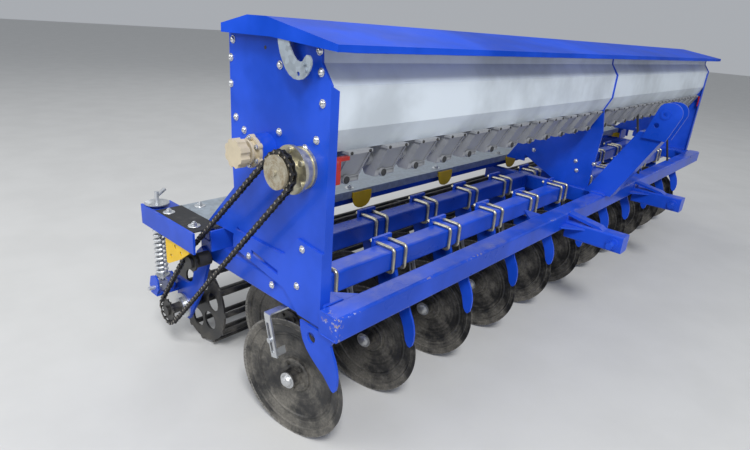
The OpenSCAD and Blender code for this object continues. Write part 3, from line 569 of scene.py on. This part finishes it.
def plate_hole_shades():
    """A flat black disc in each end plate below the lid: painted shade for the dark inside of a hole."""
    hole_shade = turned([(0, 0), (0.0055, 0), (0.0052, 0.0005), (0, 0.0006)], 16)
    hole_shades = [at(hole_shade, (side * HALF_W, *HOLE_SHADE_AT), way) for side, way in OUTWARDS.items()]
    piece("plate_hole_shades", hole_shades, dark_bolt_and_hole_shade)


MAT_BOLTS = ((2.072, 0.850), (2.068, 0.679), (1.948, 0.851), (1.948, 0.700))
BOARD_BOLT_X = (-1.30, -0.65, 0.0, 0.65, 1.30)
BOARD_BOLT_Y = (0.70, 0.851)


def board_washers():
    """Broad washers with nuts and stud ends on the footboard and its mats."""
    washer = turned([
        (0, 0), (0.0205, 0), (0.0215, 0.001), (0.0205, 0.0025), (0.0125, 0.0027), (0, 0.0027),
    ], 28)
    nut = hexagon(0.018, 0.0025, 0.0115, 0.001)
    stud = turned([(0, 0.011), (0.0055, 0.011), (0.0055, 0.0155), (0.0046, 0.0165), (0, 0.0165)], 16)
    places = [(side * x, y) for side in (-1, 1) for x, y in MAT_BOLTS]
    places += [(x, y) for x in BOARD_BOLT_X for y in BOARD_BOLT_Y]
    forms = [at(form, (x, y, BOARD_TOP)) for x, y in places for form in (washer, nut, stud)]
    piece("board_washers", forms, zinc)


FIRST_METER = 0.122
ROW_PITCH = 0.160
HALF_ROWS = 12
METER_X = [half + FIRST_METER + ROW_PITCH * row for half in (-HALF_W, 0.0) for row in range(HALF_ROWS)]
METER_FACE_Y = 0.104
METER_SCREW_Z = 0.972
METER_SCREW_SHIFTS = (-0.022, 0.052)
OUTLET_Y = 0.142
OUTLET_Z = 0.883


def meter_screws():
    """Two button screws in the top flange of every seed meter."""
    button = turned([
        (0, 0), (0.0052, 0), (0.0052, 0.0012), (0.0040, 0.0030), (0.0020, 0.0038), (0, 0.0040),
    ], 16)
    screws = [
        at(button, (x + shift, METER_FACE_Y, METER_SCREW_Z), "-y")
        for x in METER_X for shift in METER_SCREW_SHIFTS
    ]
    piece("meter_screws", screws, dark_bolt_and_hole_shade)


def outlet_shades():
    """A low black cap in the outlet of every seed meter: painted shade for the dark inside of the empty
    outlet.
    """
    outlet_shade_cap = turned([
        (0, -0.006), (0.0077, -0.006), (0.0077, 0.0004), (0.0112, 0.0004), (0.0112, 0.0024),
        (0.0085, 0.0042), (0.0040, 0.0048), (0, 0.0049),
    ], 24)
    outlet_shade_caps = [at(outlet_shade_cap, (x, OUTLET_Y, OUTLET_Z), "-y") for x in METER_X]
    piece("outlet_shades", outlet_shade_caps, mat_rubber_and_outlet_shade)


KNOB_SCREW_X = -2.060
KNOB_SCREW_R = 0.040
KNOB_SCREWS = 6


def knob_screws():
    """Socket screws in a circle on the flange of the rate knob."""
    cap_screw = turned([
        (0, 0), (0.0070, 0), (0.0072, 0.0010), (0.0072, 0.0045), (0.0060, 0.0060), (0.0036, 0.0062),
        (0.0034, 0.0030), (0, 0.0028),
    ], 20)
    screws = []
    for number in range(KNOB_SCREWS):
        angle = 2 * math.pi * number / KNOB_SCREWS
        y = KNOB_Y + KNOB_SCREW_R * math.sin(angle)
        z = KNOB_Z + KNOB_SCREW_R * math.cos(angle)
        screws.append(at(cap_screw, (KNOB_SCREW_X, y, z), "-x"))
    piece("knob_screws", screws, bolt_zinc)


CHAIN_FACE_X = low("drive_chain", X) + 0.0002
SPROCKET_PITCH_R = 0.054
IDLER_PITCH_R = 0.0385
PIN_PITCH = 0.024


def tangent_line(circles, count=25):
    """Closed middle line of the chain around circles (y, z, r) as arcs between their outer tangents."""
    ends = []
    for here, there in zip(circles, circles[1:] + circles[:1]):
        step = (there[0] - here[0], there[1] - here[1])
        ends.append(math.atan2(step[1], step[0]) - math.acos((here[2] - there[2]) / math.hypot(*step)))
    arcs = []
    for (y, z, r), start, end in zip(circles, ends[-1:] + ends[:-1], ends):
        end += 2 * math.pi if end < start else 0.0
        angle = np.linspace(start, end, count)
        arcs.append(np.stack((y + r * np.cos(angle), z + r * np.sin(angle)), axis=-1))
    return np.concatenate(arcs + [arcs[0][:1]])


def chain_pin_ends():
    """Riveted pin ends at even steps along the outer face of the chain."""
    loop = tangent_line([
        (FEED_Y, FEED_Z, SPROCKET_PITCH_R),
        (CAGE_Y, CAGE_Z, SPROCKET_PITCH_R),
        (IDLER_Y, IDLER_Z, IDLER_PITCH_R),
    ])
    way = np.concatenate(([0], np.cumsum(np.linalg.norm(np.diff(loop, axis=0), axis=1))))
    pins = 2 * round(way[-1] / 2 / PIN_PITCH)
    steps = np.arange(pins) * way[-1] / pins
    rivet = turned([(0, 0), (0.0036, 0), (0.0034, 0.0008), (0.0020, 0.0013), (0, 0.0014)], 12)
    places = zip(np.interp(steps, way, loop[:, 0]), np.interp(steps, way, loop[:, 1]))
    rivets = [at(rivet, (CHAIN_FACE_X, y, z), "-x") for y, z in places]
    piece("chain_pin_ends", rivets, pin_steel)


# Radii of the beads, and how far they stop short of a tube's edge
TUBE_BEAD = 0.0035
CAP_BEAD = 0.0025
HITCH_BEAD = 0.004
HORN_BEAD = 0.003
WELD_SHORT = 0.008

LINK_X = 0.48
LINK_HALF_W = 0.04
MAST_SIDE_X = 0.070
MAST_RIB_X = 0.045
HORN_WELDS = (-0.034, -0.026)
DISC_PITCH = 0.356
FRONT_DISCS = 11
FIRST_DISC_X = 0.02 - HALF_W


def frame_welds(side):
    """Beads where the cross tubes and the front bar meet a side member, and round the bar's end cap."""
    inner = side * INNER_X
    edge = side * (HALF_W - WELD_SHORT)
    cap_x = side * BAR_END
    welds = []
    for face in CROSS_Y:
        start = face + WELD_SHORT
        end = face + TUBE - WELD_SHORT
        for y in (face, face + TUBE):
            welds.append(bead((inner, y, BAR_LOW + WELD_SHORT), (inner, y, BAR_TOP - WELD_SHORT), TUBE_BEAD))
        welds.append(bead((inner, start, BAR_TOP), (inner, end, BAR_TOP), TUBE_BEAD))
    welds.append(bead((inner + side * WELD_SHORT, TUBE, BAR_TOP), (edge, TUBE, BAR_TOP), TUBE_BEAD))
    for z in (BAR_LOW + 0.002, BAR_TOP - 0.002):
        welds.append(bead((cap_x, 0.009, z), (cap_x, TUBE - 0.009, z), CAP_BEAD))
    return welds


def hitch_welds(side):
    """Beads round a lower link bracket and along one side of the mast's foot."""
    bracket = side * LINK_X
    welds = []
    for x in (bracket - LINK_HALF_W, bracket + LINK_HALF_W):
        welds.append(bead((x, 0.0, BAR_LOW + 0.009), (x, 0.0, BAR_TOP - WELD_SHORT), HITCH_BEAD))
    top = BAR_TOP - 0.006
    welds.append(bead((bracket - 0.026, 0.006, top), (bracket + 0.026, 0.006, top), HITCH_BEAD))
    for x, z in ((side * MAST_RIB_X, BAR_TOP + 0.011), (side * MAST_SIDE_X, BAR_TOP)):
        welds.append(bead((x, 0.010, z), (x, TUBE - 0.010, z), HITCH_BEAD))
    return welds


def weld_beads():
    """All beads of the frame and the hitch, and those of the horn plates under the front bar."""
    welds = []
    for side in (-1, 1):
        welds += frame_welds(side) + hitch_welds(side)
    foot = BAR_TOP + 0.002
    welds.append(bead((-0.066, 0.003, foot), (0.066, 0.003, foot), HITCH_BEAD))
    for disc in range(FRONT_DISCS):
        for shift in HORN_WELDS:
            x = FIRST_DISC_X + DISC_PITCH * disc + shift
            welds.append(bead((x, 0.030, BAR_LOW), (x, 0.068, BAR_LOW), HORN_BEAD))
    piece("weld_beads", welds, weld_blue)


def lid_hem():
    """The rolled hem along the front edge of the lid."""
    reach = high("lid", X) - 0.004
    y = low("lid", Y) - FRONT_Y + 0.0015
    z = low("lid", Z) + 0.0005
    hem = bead((-reach, y, z), (reach, y, z), 0.0022, ripple=0.2)
    piece("lid_hem", [hem], lid_blue, body="lid")


plate_bolts()
plate_hole_shades()
board_washers()
meter_screws()
outlet_shades()
knob_screws()
chain_pin_ends()
weld_beads()
lid_hem()


# Camera, light and floor
CAMERA_AT = (-2.912, -1.303, 1.305)
CAMERA_YAW = math.radians(48.57)
CAMERA_PITCH = math.radians(-20.75)
CAMERA_ROLL = math.radians(4.47)
PHOTO_W_PX = 750
FOCAL_PX = 524.9


def aim_camera():
    """The photograph's camera: yaw from +Y towards +X, then pitch, then roll about the view."""
    data = bpy.data.cameras.new("photo_camera")
    data.sensor_width = 36.0
    data.lens = FOCAL_PX / PHOTO_W_PX * data.sensor_width
    data.clip_start = 0.05
    data.clip_end = 100.0
    camera = bpy.data.objects.new("photo_camera", data)
    bpy.context.scene.collection.objects.link(camera)
    forward = Vector((
        math.cos(CAMERA_PITCH) * math.sin(CAMERA_YAW),
        math.cos(CAMERA_PITCH) * math.cos(CAMERA_YAW),
        math.sin(CAMERA_PITCH),
    ))
    right = Vector((math.cos(CAMERA_YAW), -math.sin(CAMERA_YAW), 0.0))
    up = right.cross(forward)
    rolled_right = right * math.cos(CAMERA_ROLL) + up * math.sin(CAMERA_ROLL)
    rolled_up = up * math.cos(CAMERA_ROLL) - right * math.sin(CAMERA_ROLL)
    turn = Matrix((rolled_right, rolled_up, -forward)).transposed()
    camera.matrix_world = Matrix.Translation(CAMERA_AT) @ turn.to_4x4()
    bpy.context.scene.camera = camera


def lamp(name, place, target, size, power):
    """A soft square lamp that looks at a target."""
    data = bpy.data.lights.new(name, "AREA")
    data.size = size
    data.energy = power
    made = bpy.data.objects.new(name, data)
    bpy.context.scene.collection.objects.link(made)
    made.location = place
    made.rotation_euler = (Vector(target) - Vector(place)).to_track_quat("-Z", "Y").to_euler()


def pale_world():
    """An even, slightly blue sky."""
    world = bpy.data.worlds.new("pale_world")
    bpy.context.scene.world = world
    world.use_nodes = True
    background = world.node_tree.nodes["Background"]
    background.inputs["Color"].default_value = (0.86, 0.90, 0.96, 1.0)
    background.inputs["Strength"].default_value = 0.46


def lamps():
    """Three soft lamps, the key from the drive side above."""
    lamp("key_lamp", (-5.2, -4.6, 7.2), (-0.4, 0.0, 0.6), 2.2, 620.0)
    lamp("fill_lamp", (-6.5, 2.5, 4.0), (-0.6, 0.0, 0.5), 4.0, 150.0)
    lamp("rim_lamp", (4.0, 5.5, 6.5), (0.0, 0.0, 0.6), 5.0, 90.0)


FLOOR_REACH = 40.0


def pale_floor():
    """A wide plain floor with a faint mottle."""
    corners = [(x * FLOOR_REACH, y * FLOOR_REACH, 0) for x, y in ((-1, -1), (1, -1), (1, 1), (-1, 1))]
    data = bpy.data.meshes.new("floor")
    data.from_pydata(corners, [], [(0, 1, 2, 3)])
    floor = bpy.data.objects.new("floor", data)
    bpy.context.scene.collection.objects.link(floor)
    mat, tree, shader = new_material("floor_pale")
    grain = noise(tree, object_point(tree), 3.0, 6.0)
    tone = blend(tree, ramp(tree, grain, 0.3, 0.7), (0.58, 0.58, 0.57), (0.61, 0.61, 0.60))
    link(tree, tone, shader.inputs["Base Color"])
    shader.inputs["Roughness"].default_value = 0.9
    data.materials.append(mat)


aim_camera()
pale_world()
lamps()
pale_floor()
bpy.context.scene.view_settings.view_transform = "Standard"
